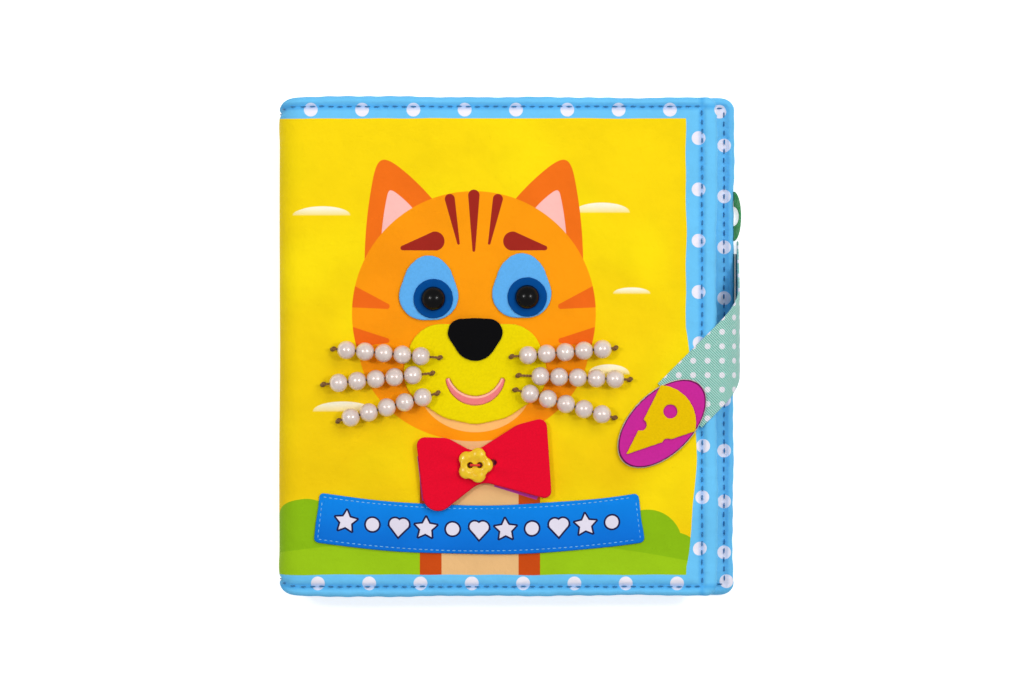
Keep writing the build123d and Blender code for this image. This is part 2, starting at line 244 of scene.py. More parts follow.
def softened(piece, rounding, segments, degrees, voxel, passes):
    """Round a piece's sharp edges, give it an even mesh and smooth that. Sizes are in millimetres."""
    limit = {"limit_method": "ANGLE", "angle_limit": radians(degrees)}
    modified(piece, "BEVEL", width=rounding * MM, segments=segments, **limit)
    modified(piece, "REMESH", mode="VOXEL", voxel_size=voxel * MM)
    return modified(piece, "SMOOTH", factor=0.5, iterations=passes)


def joined(name, objects):
    only(objects[0])
    for obj in objects:
        obj.select_set(True)
    bpy.ops.object.join()
    objects[0].name = objects[0].data.name = name
    return objects[0]


def points_of(obj):
    co = np.empty(len(obj.data.vertices) * 3, np.float32)
    obj.data.vertices.foreach_get("co", co)
    return co.reshape(-1, 3).astype(float)


def move_points(obj, *co):
    """Move a mesh's points to rows of X, Y and Z, or to columns given one by one."""
    places = co[0] if len(co) == 1 else np.stack(co, axis=1)
    obj.data.vertices.foreach_set("co", np.ascontiguousarray(places, np.float32).ravel())
    obj.data.update()


def smooth(obj, degrees=None):
    only(obj)
    if degrees is None:
        bpy.ops.object.shade_smooth()
    else:
        bpy.ops.object.shade_smooth_by_angle(angle=radians(degrees))
    return obj


def dress(obj, *materials):
    obj.data.materials.clear()
    for material in materials:
        obj.data.materials.append(material)
    return obj


def settle(obj, body, slot, *nodes):
    """Make a finished piece ride on its body and stand for its nodes. Its slot is not used."""
    if nodes:
        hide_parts(*nodes)
    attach(obj, body)


def wave(a, b, seed):
    """Smooth unevenness between about -1 and 1, at places given in millimetres."""
    first = np.sin(a * 0.9 + 1.7 * np.sin(b * 0.31 + seed))
    return (first + np.sin(b * 1.13 + 2.1 * np.sin(a * 0.27 - seed))) / 2


def hill(away, width):
    """1 at its middle, falling away smoothly over a width."""
    return np.exp(-((away / width) ** 2))


def replicated(name, template, places):
    """Copy a small piece to each place, given as a matrix, in one smooth mesh."""
    flat = points_of(template)
    faces = [tuple(p.vertices) for p in template.data.polygons]
    points, polygons = [], []
    for place in places:
        turn = np.array(place)
        polygons += [tuple(v + len(points) * len(flat) for v in face) for face in faces]
        points.append(flat @ turn[:3, :3].T + turn[:3, 3])
    bpy.data.objects.remove(template)
    return smooth(built(name, np.concatenate(points).tolist(), [], polygons))


# Camera, straight above, with the photograph's frame at the height of the cover's face
photo_width = 446.98 * MM
photo_centre = (1.75 * MM, 2.84 * MM)
camera_height = 3.0
scene = bpy.context.scene
camera = linked("camera", bpy.data.cameras.new("camera"))
camera.location = (*photo_centre, cover_face + camera_height)
camera.data.lens = camera.data.sensor_width * camera_height / photo_width
camera.data.clip_end = 20
scene.camera = camera
scene.view_settings.view_transform = "Standard"


# Studio: a wide soft light from the upper right, two small soft boxes by the camera, and an even world
def soft_box(name, place, size, power):
    lamp = bpy.data.lights.new(name, "AREA")
    lamp.shape, lamp.size, lamp.size_y, lamp.energy = "RECTANGLE", *size, power
    obj = linked(name, lamp)
    obj.location = place
    obj.rotation_euler = (-Vector(place)).to_track_quat("-Z", "Y").to_euler()
    return obj


soft_box("wide_light", (0.55, 0.85, 1.2), (1.0, 0.7), 7.6).visible_glossy = False
soft_box("left_light", (-0.62, 0.16, 1.25), (0.17, 0.17), 4.0)
soft_box("right_light", (0.62, 0.16, 1.25), (0.17, 0.17), 4.0)
world = scene.world = bpy.data.worlds.new("even_world")
world.use_nodes = True
background = world.node_tree.nodes["Background"]
background.inputs["Color"].default_value = (1, 1, 1, 1)
background.inputs["Strength"].default_value = 0.44

# Floor: pale, and white to the camera, with the book's soft shadow kept
floor = added("floor", bpy.ops.mesh.primitive_plane_add, size=12)
paper = Finish("floor_paper")
paper.set(color=(0.86, 0.86, 0.86), roughness=0.9, specular=0.1)
plain = Value(paper, paper.shader.outputs[0])
glow = paper.node("ShaderNodeEmission", inputs={"Strength": 0.6})
glowing = paper.node("ShaderNodeAddShader", inputs=(plain, glow))
rays = [paper.node("ShaderNodeLightPath", output=f"Is {kind} Ray") for kind in ("Camera", "Glossy")]
seen = (rays[0] + rays[1]).below(1.0)
paper.feed(paper.output.inputs["Surface"], paper.node("ShaderNodeMixShader", inputs=(seen, plain, glowing)))
dress(floor, paper.material)


# Print: shapes in millimetres, each 1 inside and 0 outside with a narrow soft edge
def reach(a, b):
    return (a * a + b * b).root()


def ellipse(x, y, centre, radii):
    across, up = (x - centre[0]) / radii[0], (y - centre[1]) / radii[1]
    return (1 - reach(across, up)).ink(0.12 / min(radii))


def lens(x, y, first, second, rounding):
    """Inside two circles at once, each given by its middle and radius, with round tips."""
    depths = [radius - reach(x - cx, y - cy) for cx, cy, radius in (first, second)]
    return depths[0].math("SMOOTH_MIN", depths[1], rounding).ink()


def corners(x, y, *points):
    """Inside a convex outline whose corners are given counter-clockwise."""
    inside = None
    for start, end in zip(points, points[1:] + points[:1]):
        dx, dy = end[0] - start[0], end[1] - start[1]
        length = hypot(dx, dy)
        side = ((y - start[1]) * (dx / length) - (x - start[0]) * (dy / length)).ink()
        inside = side if inside is None else inside.below(side)
    return inside


def band(value, low, high):
    """Where value is between low and high."""
    return (value - low).ink() * (high - value).ink()


def bar(x, y, start, end, width):
    """Inside a bar with round ends, tapering to a quarter at its far end."""
    dx, dy = end[0] - start[0], end[1] - start[1]
    length = hypot(dx, dy)
    along = ((x - start[0]) * (dx / length) + (y - start[1]) * (dy / length)) / length
    near = along.above(0.0).below(1.0)
    off = reach(x - start[0] - near * dx, y - start[1] - near * dy)
    return (width / 2 * (1 - 0.75 * near) - off).ink()


# Border: blue with pale dots outside the picture, the dots at the same pitch along each edge
dot_pitch, dot_radius, dot_inset = 22.4, 3.0, 5.6
border_side, border_end = 13.6, 9.4


def seam_shaded(finish, colour, x, y, seam_x, seam_y):
    """The border's colour with painted shade: darker, stronger blue beside its seam, where the cloth is drawn
    into the channel.
    """
    away = abs(x - seam_x).below(abs(abs(y) - seam_y))
    return finish.mix((1.0 - away / 2.0).above(0.0) * 0.6, colour, SEAM_SHADE_BLUE)


def dotted(x, y, column, top, start):
    """Rows of dots beside the ends, and a column of them beside the right side, as a mask."""
    row_x = (x + 86.1 - 3.1 * (y < 0.0)).wrapped(dot_pitch)
    row_y = (y - start).wrapped(dot_pitch)
    corner = (abs(y) - (top - 10.5)) > 0
    side = (dot_radius - reach(row_y, x - column)).ink() * (1 - corner)
    return (dot_radius - reach(row_x, abs(y) - (top - dot_inset))).ink().above(side)


def weave(x, y, turn=tau / 0.42):
    """The height of a plain weave with threads along both ways."""
    return (x * turn).sine() * (y * turn * 0.5).sine() + (y * turn).sine() * (x * turn * 0.5).sine()


def cloth_finish(finish, colour, x, y, crease=0.25):
    """Printed cloth: its weave, faint creases and uneven ink over the colour."""
    flat = finish.vector(x, y)
    uneven = finish.noise(flat, 0.045, detail=3.0)
    creases = finish.noise(flat, 0.11, detail=4.0, roughness=0.55)
    colour = finish.mix(uneven.ramp(0.35, 0.75) * 0.14, colour, finish.mix(0.5, colour, (0.0, 0.0, 0.0)))
    folds = finish.bump(creases, crease * MM * 3)
    normal = finish.bump(weave(x, y), 0.035 * MM, strength=0.5, normal=folds)
    finish.set(color=colour, roughness=0.62 + 0.12 * uneven, normal=normal)
    return finish.set(sheen=0.03, sheen_roughness=0.4, specular=0.12)


def cloth_map(finish):
    """The cloth's own flat places, in millimetres."""
    u, v, _ = finish.parts(finish.node("ShaderNodeUVMap", {"uv_map": "cloth"}))
    return u / MM, v / MM


# The yellow ground, darker towards the bottom: painted shade, as the light falls from the top
def yellow_with_painted_shade(finish, y):
    return finish.mix(((y + 120) / 240).ramp(0.0, 1.0), SHADED_YELLOW, YELLOW)


# The picture: a ginger cat on a yellow ground with green below
face_x = -14.9
clouds = (
    ((-81.0, 57.4), (12.0, 3.8)),
    ((41.0, 58.6), (12.0, 4.2)),
    ((54.0, 23.2), (8.0, 2.6)),
    ((-72.0, -28.2), (13.0, 4.2)),
    ((44.0, -12.0), (9.0, 4.2)),
)
bushes = (
    (-88.0, -81.5, 15.0),
    (-101.0, -86.0, 12.5),
    (61.0, -86.2, 15.0),
    (73.0, -92.6, 11.4),
    (48.0, -88.6, 10.0),
)
bow_left = ((-39.6, -48.0), (-37.4, -67.2), (-30.0, -68.4), (-18.0, -60.0), (-18.0, -48.0))
bow_right = ((-6.0, -47.0), (-6.0, -61.2), (12.4, -66.9), (16.5, -60.0), (15.0, -40.0))
forehead_marks = (
    ((-14.9, 66.0), (-14.9, 42.0), 5.0),
    ((-25.4, 64.4), (-21.6, 45.0), 4.4),
    ((-4.4, 64.4), (-8.2, 45.0), 4.4),
)
brow = ((17.0, 46.0), (31.0, 43.0), 8.4)
cheek_marks = (((54.0, 22.0), (38.0, 17.6), 10.0), ((53.0, 4.0), (38.0, 2.6), 9.0))


def picture(finish, x, y):
    light = finish.noise(finish.vector(x, y), 0.018, detail=1.0)
    layers = [(light.ramp(0.42, 0.66) * 0.7, PALE_YELLOW)]
    for centre, radii in clouds:
        puff = ellipse(x, y, centre, radii).below((y - centre[1]).ramp(-0.5, 0.5))
        fade = 0.45 + 0.55 * ((y - centre[1]) / radii[1]).ramp(0.0, 0.9)
        layers.append((puff * fade, CLOUD_WHITE))
    layers += [(ellipse(x, y, bush[:2], (bush[2], bush[2])), BUSH_GREEN) for bush in bushes]
    # Ground, and the body with the printed bow behind the felt one
    layers += [
        (ellipse(x, y, (-20.0, -150.0), (190.0, 66.0)), LEAF_GREEN),
        (band(x, -38.5, 14.0) * (-58 - y).ink(), BODY_SIDE),
        (band(x, -29.0, 4.6) * (-36 - y).ink(), BELLY),
        (corners(x, y, *bow_left).above(corners(x, y, *bow_right)), BOW_SHADOW),
    ]
    # Ears and head
    mirrored, upper = abs(x - face_x), y > 20.0
    outer = lens(mirrored, y, (-150.3, 35.3, 198.0), (94.05, 0.05, 99.5), 12.0)
    inner = lens(mirrored, y, (-97.2, 37.3, 138.0), (60.2, 31.35, 44.3), 4.0)
    head = ellipse(x, y, (face_x, 14.4), (53.2, 53.4)).above(ellipse(x, y, (face_x, 2.0), (50.5, 43.4)))
    layers += [(outer * upper, EAR_ORANGE), (inner * upper, EAR_PINK), (head, HEAD_ORANGE)]
    layers.append((head * light.ramp(0.45, 0.65) * 0.12, EAR_ORANGE))
    # Forehead wedges, brows, cheek marks and chin
    layers += [(bar(x, y, *mark), STRIPE_BROWN) for mark in forehead_marks]
    layers.append((bar(mirrored, y, *brow), STRIPE_BROWN))
    layers += [(bar(mirrored, y, *mark) * head, CHEEK_ORANGE) for mark in cheek_marks]
    layers.append((ellipse(x, y, (face_x + 0.6, -16.4), (25.0, 21.0)), CHIN_PEACH))
    return finish.layered(yellow_with_painted_shade(finish, y), layers)


def cloth_print(name, right, column, start, ground=None, insets=None, pictured=False):
    """A cloth's print: the picture or a plain ground in the dotted border.

    On an outer cloth, with insets, the border wavers and has painted shade beside its seam.
    Its picture bows out under the strap."""
    finish = Finish(name)
    x, y = cloth_map(finish)
    top, waver, bulge = half_height / MM, 0.0, 0.0
    ground = picture(finish, x, y) if pictured else ground or yellow_with_painted_shade(finish, y)
    if insets:
        waver = finish.noise(finish.vector(x, y), 0.05, detail=0.0) * 1.6 - 0.8
    if pictured:
        low = (y + 44.0) / 52.0
        bulge = (1.0 - low * low).above(0.0) * 4.4
    border = (x + waver - bulge - (right - border_side)).ink()
    border = border.above((abs(y) + waver * 0.7 - (top - border_end)).ink())
    edge = finish.mix(dotted(x - bulge * 0.45, y, column, top, start), BORDER_BLUE, PALE_DOT)
    if insets:
        # Painted shade: the border is darker beside its seam
        edge = seam_shaded(finish, edge, x, y, right - insets[0] / MM, top - insets[1] / MM)
    return cloth_finish(finish, finish.mix(border, ground, edge), x, y)


# Padded panels: a grid becomes two cloths that close at a rolled rim, with a sewn channel inside it
stitch_pitch, stitch_sink, stitch_drift = 4.0 * MM, 0.5 * MM, 0.12 * MM
seam_start, rim_roll = 4 * MM, 2.6 * MM
channel_width, channel_depth = 1.15 * MM, 1.5 * MM
corner_radius, wander_reach, least_half = 5.0 * MM, 9 * MM, 0.15 * MM
cover_step, leaf_step = 1.25 * MM, 2.4 * MM
sheet_step, sheet_scale, firm_reach = 1.7 * MM, 10, 12 * MM


def grid(name, across, up):
    """Add a grid, and give the column and the row of each of its points."""
    obj = added(name, bpy.ops.mesh.primitive_grid_add, x_subdivisions=across, y_subdivisions=up, size=2.0)
    co = (points_of(obj) + 1) / 2
    return obj, np.rint(co[:, 0] * across).astype(int), np.rint(co[:, 1] * up).astype(int)


def spread(count, length, rim, rows):
    """Places along a length, close together over the rims at both ends and even between them."""
    near = rim * (1 - np.cos(np.linspace(0, 1, rows + 1)[:-1] * pi / 2))
    middle = np.linspace(rim, length - rim, count + 1 - 2 * rows)
    return np.concatenate([near, middle, (length - near)[::-1]])


def padded_grid(name, width, height, across, up, rim, rows, wall):
    """Add a thin-walled grid from (0, -height / 2), and give its points and their sides."""
    obj, column, row = grid(name, across, up)
    x, y = spread(across, width, rim, rows)[column], spread(up, height, rim, rows)[row] - height / 2
    move_points(obj, x, y, np.zeros(len(x)))
    co = points_of(modified(obj, "SOLIDIFY", thickness=wall, offset=0.0))
    return obj, co, np.sign(co[:, 2])


def rolled(distance, rim):
    """The share of the full thickness at a distance from an edge that is rolled round."""
    return np.sqrt(np.clip(1 - (1 - np.clip(distance / rim, 0, 1)) ** 2, 0, 1))


def rounded(to_side, to_end, radius):
    """How far a corner is drawn in, to a round."""
    a, b = np.clip(1 - to_side / radius, 0, 1), np.clip(1 - to_end / radius, 0, 1)
    shrink = radius * (1 - np.maximum(a, b) / np.maximum(np.hypot(a, b), 1e-9)) * (a * b > 0)
    return shrink * a, shrink * b


def seam_dip(distance, along, inset, seed):
    """How far the cloth is drawn in at the seam, and how it puckers on both sides of it."""
    channel = hill(distance - inset, channel_width)
    beat = np.cos(tau * along / stitch_pitch)
    pull = 1 + 0.18 * beat + 0.22 * wave(along / MM * 0.35, distance / MM * 0.2, seed)
    skirt = np.exp(-np.abs(distance - inset) / (3.0 * MM)) * (1 - channel)
    pucker = np.sin(tau * along / (stitch_pitch * 1.5) + 2 * wave(along / MM * 0.2, 0.0, seed))
    return channel * channel_depth * pull + 0.27 * MM * skirt * pucker


def simulated(obj, held, slack, frames, **settings):
    """Run the cloth simulation on a mesh and give its last shape. Weights hold it and make it slack."""
    for name, weights in (("held", held), ("slack", slack)):
        group = obj.vertex_groups.new(name=name)
        levels = np.round(weights * 20).astype(int)
        for level in range(1, 21):
            group.add(np.flatnonzero(levels == level).tolist(), level / 20, "REPLACE")
    cloth = obj.modifiers.new("Cloth", "CLOTH")
    cloth.settings.effector_weights.gravity = 0
    cloth.collision_settings.use_collision = False
    for key, value in settings.items():
        setattr(cloth.settings, key, value)
    cloth.point_cache.frame_end = frames
    for number in range(1, frames + 1):
        scene.frame_set(number)
    co = points_of(obj.evaluated_get(bpy.context.evaluated_depsgraph_get()))
    obj.modifiers.clear()
    scene.frame_set(1)
    return co


def sewn_heights(width, height, insets):
    """Heights of one face of a padded panel, from a sheet with slack that is sewn down along its seam.

    The sheet is ten times life size, and held where the padding is firm. Gives rows of heights in Y."""
    across, up = int(width / sheet_step), int(height / sheet_step)
    sheet, column, row = grid("sewn_sheet", across, up)
    x, y = column / across * width, (row / up - 0.5) * height
    to_right, to_end = width - x, height / 2 - np.abs(y)
    past_right, past_end = to_right - insets[0], to_end - insets[1]
    side_away = np.where(past_end > -sheet_step, np.abs(past_right), 1.0)
    seam_away = np.minimum(side_away, np.where(past_right > -sheet_step, np.abs(past_end), 1.0))
    rim = np.minimum(to_right, to_end) < sheet_step * 0.5
    inside = np.minimum(past_right, past_end)
    fixed = (seam_away < sheet_step * 0.55) | rim | (x < sheet_step * 0.5)
    held = np.maximum(np.clip((inside - 5 * MM) / firm_reach, 0, 1), 1.0 * fixed)
    start = 0.12 * MM * wave(x / MM * 0.8, y / MM * 0.7, 3.0) * (1 - held)
    move_points(sheet, np.stack([x, y, start], axis=1) * sheet_scale)
    shaped = simulated(
        sheet, held, np.clip(1 - inside / firm_reach, 0, 1), frames=20, vertex_group_mass="held",
        vertex_group_shrink="slack", quality=5, mass=0.3, tension_stiffness=25, compression_stiffness=25,
        shear_stiffness=5, bending_stiffness=0.5, air_damping=2, shrink_min=0.0, shrink_max=-0.06,
        use_pressure=True, uniform_pressure_force=5.0,
    )
    bpy.data.objects.remove(sheet)
    heights = np.zeros((up + 1, across + 1))
    heights[row, column] = shaped[:, 2] / sheet_scale
    return np.clip(heights, -0.5 * MM, 1.4 * MM)


def height_at(heights, x, y, width, height):
    """Read the grid of heights between its points."""
    rows, columns = heights.shape
    a, b = np.clip(x / width, 0, 1) * (columns - 1), np.clip(y / height + 0.5, 0, 1) * (rows - 1)
    i, j = np.minimum(a.astype(int), columns - 2), np.minimum(b.astype(int), rows - 2)
    p, q = a - i, b - j
    low = heights[j, i] * (1 - p) + heights[j, i + 1] * p
    high = heights[j + 1, i] * (1 - p) + heights[j + 1, i + 1] * p
    return low * (1 - q) + high * q


def write_map(obj, u, v):
    """Give the mesh a UV map named cloth that holds each vertex's flat place."""
    layer = obj.data.uv_layers.new(name="cloth")
    corner = np.empty(len(obj.data.loops), np.int32)
    obj.data.loops.foreach_get("vertex_index", corner)
    layer.uv.foreach_set("vector", np.stack([u, v], axis=1)[corner].astype(np.float32).ravel())


def wander(along, coarse, fine, seed, shift):
    """How far an edge wanders to its side."""
    broad = 0.45 * wave(along / MM * coarse, 0.0, seed + shift)
    return MM * (broad + 0.18 * wave(along / MM * fine, 0.0, seed))


def panel(name, left, right, top, thickness, insets, step, seed, lay, heights=None, folded=0):
    """Make a padded panel between left and right, and lay its middle surface by a function.

    insets are the distances of the seams from the right side and from the two ends. The left side has no rim.
    heights are those of its simulated outer face, if any. A folded panel is thin inside its fold."""
    width, rows = right - left, 5
    across, up = int(round(width / step)) + 2 * rows, int(round(2 * top / step)) + 2 * rows
    obj, co, side = padded_grid(name, width, 2 * top, across, up, rim_roll, rows, 0.4 * MM)
    flat_x, flat_y = left + co[:, 0], co[:, 1]
    to_right, to_end = right - flat_x, top - np.abs(flat_y)
    to_edge = np.minimum(to_right, to_end)
    dip = np.maximum(
        seam_dip(to_right, flat_y, insets[0], seed) * (to_end > insets[1] * 0.9),
        seam_dip(to_end, flat_x, insets[1], seed + 3.0) * (to_right > insets[0] * 0.9),
    )
    swell = 0.22 * MM * wave(flat_x / MM * 0.045, flat_y / MM * 0.05, seed)
    swell *= np.clip((to_edge - rim_roll) / (6 * MM), 0, 1)
    if heights is not None:
        dip -= height_at(heights, co[:, 0], co[:, 1] * side, width, 2 * top) * np.clip(to_edge / MM, 0, 1)
    half = np.maximum(thickness / 2 * rolled(to_edge, rim_roll) - dip, least_half)
    flat_x = flat_x + wander(flat_y, 0.10, 0.9, seed, 1.0) * np.clip(1 - to_right / wander_reach, 0, 1)
    outward = np.sign(flat_y)
    end_wander = wander(flat_x, 0.09, 0.8, seed, 2.0) * np.clip(1 - to_end / wander_reach, 0, 1)
    flat_y = flat_y + outward * end_wander
    corner_x, corner_y = rounded(to_right, to_end, corner_radius)
    flat_x, flat_y = flat_x - corner_x, (flat_y - outward * corner_y) * drawn_in(flat_x)
    place, normal = lay(flat_x)
    out = np.where(side > 0, half + swell, -half * (1 - folded * 0.77 * hill(flat_x - fold_middle, 2.8 * MM)))
    move_points(obj, place[:, 0] + normal[:, 0] * out, flat_y, place[:, 1] + normal[:, 1] * out)
    write_map(obj, flat_x, flat_y)
    return smooth(obj), side


# Cover cloths: each covers one panel and turns down over the spine to half its height
spine_middle = (spine_low.z + spine_high.z) / 2
turn_radius = 7.0 * MM
turn_arc = turn_radius * pi / 2
turn_x = spine_low.x + cover_thickness / 2 + turn_radius
fold_middle = turn_x - turn_arc / 2
face_middle = cover_face - cover_thickness / 2
cloth_left = turn_x - turn_arc - (face_middle - turn_radius - spine_middle)
front_insets, back_insets = (6.6 * MM, 4.2 * MM), (4.2 * MM, 4.2 * MM)


def over_edge(past, radius):
    """How far out and down a cloth goes past the start of a bend, round and then straight, and its lean."""
    arc = radius * pi / 2
    angle = np.clip(past / arc, 0, 1) * pi / 2
    out = np.where(past > 0, radius * np.sin(angle), past)
    return out, radius * (1 - np.cos(angle)) + np.clip(past - arc, 0, None), np.sin(angle), np.cos(angle)


def front_lay(flat_x):
    """The middle surface of the front cover's cloth: level, then round the spine's edge, then down."""
    out, down, sine, cosine = over_edge(turn_x - flat_x, turn_radius)
    return np.stack([turn_x - out, face_middle - down], axis=1), np.stack([-sine, cosine], axis=1)


def back_lay(flat_x):
    """The same for the back cover, upside down."""
    place, normal = front_lay(flat_x)
    return np.array([0, 2 * spine_middle]) + place * (1, -1), normal * (1, -1)


def drawn_in(flat_x):
    """The share of the height that is left where the cloth turns down over the spine."""
    return 1 - 0.032 * np.clip((turn_x - flat_x) / turn_arc, 0, 1) ** 2


def cover_cloth(name, right, insets, lay, seed, outside, inside):
    heights = sewn_heights(right - cloth_left, 2 * half_height, insets)
    span = (cloth_left, right, half_height, cover_thickness)
    obj, side = panel(name, *span, insets, cover_step, seed, lay, heights, folded=1)
    dress(obj, outside, inside)
    inner_face = np.array([side[list(p.vertices)].sum() < 0 for p in obj.data.polygons])
    obj.data.polygons.foreach_set("material_index", inner_face.astype(np.int32))
    return edited(obj, OUTWARD)


front_x, back_x, leaf_x = front_high.x / MM, back_high.x / MM, pages_high.x / MM
front_print = cloth_print("front_print", front_x, 83.2, 91.0, insets=front_insets, pictured=True)
back_print = cloth_print("back_print", back_x, 91.0, 91.0, insets=back_insets)
front_lining = cloth_print("front_lining", front_x, 83.2, 91.0, CREAM)
back_lining = cloth_print("back_lining", back_x, 95.2, 88.5, CREAM)

front_cloth = cover_cloth(
    "front_cover_cloth", front_high.x, front_insets, front_lay, 1.0, front_print, front_lining
)
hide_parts("front_cover", "spine")
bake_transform(front_cloth)

back_cloth = cover_cloth("back_cover_cloth", back_high.x, back_insets, back_lay, 5.0, back_print, back_lining)
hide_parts("back_cover")
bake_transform(back_cloth)


# Stitches: short slack threads, one after another along a seam
def stitch(length=2.5 * MM, width=0.72 * MM):
    template = added("stitch", bpy.ops.mesh.primitive_uv_sphere_add, segments=6, ring_count=5, radius=0.5)
    lying = {"value": pi / 2, "orient_axis": "Y", "center_override": (0, 0, 0)}
    size = {"value": (length, width, width)}
    return edited(template, (bpy.ops.transform.rotate, lying), (bpy.ops.transform.resize, size))


def frame_at(place, along, up=UP):
    """A matrix at a place, with X along a line and Z up from the surface."""
    x, z = Vector(along).normalized(), Vector(up).normalized()
    turn = Matrix((x, z.cross(x), z)).transposed().to_4x4()
    turn.translation = Vector(place)
    return turn


def seam_places(left, right, top, insets, thickness, lay, side, seed):
    """Places of the stitches along the two ends and the right side of a panel."""
    places = []
    seam_right, seam_top = right - insets[0], top - insets[1]

    def on_cloth(x):
        place, normal = lay(np.array([x]))
        return place[0] + normal[0] * side * (thickness / 2 - stitch_sink), normal[0]

    for sign in (1, -1):
        for number in range(int((seam_right - left) / stitch_pitch)):
            x = seam_right - (number + 0.5) * stitch_pitch
            out, normal = on_cloth(x)
            y = sign * seam_top * float(drawn_in(x)) + stitch_drift * sin(number * 1.7 + seed)
            slope, up = (normal[1], 0, -normal[0]), (normal[0], 0, normal[1])
            places.append(frame_at((out[0], y, out[1]), slope, up))
    out, _ = on_cloth(seam_right)
    count = int(2 * seam_top / stitch_pitch)
    for number in range(count):
        drift = stitch_drift * sin(number * 1.3 + seed)
        y = (number + 0.5 - count / 2) * stitch_pitch
        places.append(frame_at((out[0] + drift, y, out[1]), (0, 1, 0)))
    return places


def speckled(name, scale, colours, ramp, rough, bumps=None, **sockets):
    """A material that follows one noise. rough is its least roughness and how much that varies."""
    finish = Finish(name)
    specks = finish.noise(finish.place(), scale)
    if bumps:
        sockets["normal"] = finish.bump(specks, bumps * MM)
    colour = finish.mix(specks.ramp(*ramp), *colours)
    return finish.set(color=colour, roughness=rough[0] + rough[1] * specks, **sockets)


def thread_finish(name, colour):
    """Twisted sewing thread."""
    colours = (colour, tuple(0.55 * c for c in colour))
    return speckled(name, 2.2, colours, (0.35, 0.75), (0.5, 0.0), 0.12, sheen=0.2)


seam_thread = thread_finish("seam_thread", STITCH_BLUE)
for name, right, insets, lay, bodies, bend, seed in (
    ("front_seam", front_high.x, front_insets, front_lay, ("front", "block"),
     ((-0.0935, 0, 0.0305), (-0.0985, 0, 0.0255)), 1.0),
    ("back_seam", back_high.x, back_insets, back_lay, ("back", "block"),
     ((-0.0935, 0, 0.0016), (-0.0985, 0, 0.0066)), 2.0),
):
    places, span = [], (cloth_left + seam_start, right, half_height)
    for side in (1, -1):
        places += seam_places(*span, insets, cover_thickness, lay, side, seed)
    seam = dress(replicated(name, stitch(), places), seam_thread)
    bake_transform(seam)

# Pages: four padded leaves, sewn round their free sides and bound together at the spine
leaf_count, leaf_space, leaf_insets = 4, 0.5 * MM, (4.2 * MM, 4.2 * MM)
pages_height = pages_high.z - pages_low.z
leaf_thickness = (pages_height - (leaf_count - 1) * leaf_space) / leaf_count
leaf_prints = [
    cloth_print(f"leaf_print_{number + 1}", leaf_x, leaf_x - 8.0, 91.0, colour)
    for number, colour in enumerate(rgbs("F4ECD8 F6E8B0 DDEBC8 F8DCC8"))
]
leaves, leaf_seams = [], []
for number in range(leaf_count):
    middle = pages_low.z + leaf_thickness / 2 + number * (leaf_thickness + leaf_space)

    def level(flat_x, middle=middle):
        return np.stack([flat_x, np.full_like(flat_x, middle)], axis=1), np.tile((0.0, 1.0), (len(flat_x), 1))

    size = (pages_high.x, pages_high.y)
    leaf, side = panel(
        f"leaf_{number + 1}", pages_low.x, *size, leaf_thickness, leaf_insets, leaf_step, 8.0 + number, level
    )
    leaves.append(dress(leaf, leaf_prints[number]))
    for face in (1, -1):
        span = (pages_low.x + seam_start, *size)
        leaf_seams += seam_places(*span, leaf_insets, leaf_thickness, level, face, number)
spine_at = (pages_low.x + 3 * MM, 0, (pages_low.z + pages_high.z) / 2)
binding = added("binding", bpy.ops.mesh.primitive_cube_add, spine_at, size=1)
binding_size = (6 * MM, 2 * (pages_high.y - 2.5 * MM), pages_height - 2.4 * MM)
edited(binding, (bpy.ops.transform.resize, {"value": binding_size, "center_override": spine_at}))
modified(binding, "BEVEL", width=1.5 * MM, segments=3)
dress(smooth(binding, 40), leaf_prints[0])
binding.data.uv_layers[0].name = "cloth"
leaves_cloth = joined("page_leaves", leaves + [binding])
settle(leaves_cloth, "block", "page_cloth", "pages")
leaf_seam = replicated("leaf_seams", stitch(), leaf_seams)
settle(dress(leaf_seam, seam_thread), "block", "page_cloth")


# Felt: pressed fibres, with soft cut edges
def felt_finish(name, colour, fuzz=1.0, edge=None, edge_colour=None):
    finish = Finish(name)
    place = finish.place()
    clumps = finish.noise(place, 1.1)
    fibres = finish.noise(place, 4.2, detail=3.0, roughness=0.65)
    dark, pale = tuple(0.92 * c for c in colour), tuple(min(1.0, 1.08 * c + 0.004) for c in colour)
    shade = finish.mix(clumps.ramp(0.25, 0.7), dark, colour)
    shade = finish.mix(fibres.ramp(0.45, 0.8) * 0.4, shade, pale)
    if edge:
        shade = finish.mix(edge(finish), shade, edge_colour or tuple(0.25 * c for c in colour))
    normal = finish.bump(clumps, 0.15 * MM * fuzz, strength=0.5)
    normal = finish.bump(fibres, 0.11 * MM * fuzz, strength=0.5, normal=normal)
    finish.set(color=shade, roughness=0.95, normal=normal)
    return finish.set(sheen=0.05, sheen_roughness=0.5, specular=0.08)


def disc(name, x, y, radius, bottom, thickness, vertices=72):
    """A flat disc, with its place and its radius in millimetres."""
    where, size = (x * MM, y * MM, bottom + thickness / 2), {"radius": radius * MM, "depth": thickness}
    return added(name, bpy.ops.mesh.primitive_cylinder_add, where, vertices=vertices, **size)


def hull_of_discs(name, discs, bottom, thickness):
    """A flat piece whose outline wraps round discs, each given by its middle and radius in millimetres."""
    piece = joined(name, [disc(name, *place, bottom, thickness) for place in discs])
    flattened = (bpy.ops.mesh.dissolve_limited, {"angle_limit": radians(1)})
    return edited(piece, (bpy.ops.mesh.convex_hull, {}), flattened)


def cut(piece, *tools):
    """Take other pieces out of a piece."""
    for tool in tools:
        modified(piece, "BOOLEAN", operation="DIFFERENCE", object=tool, solver="EXACT")
        bpy.data.objects.remove(tool)
    return piece


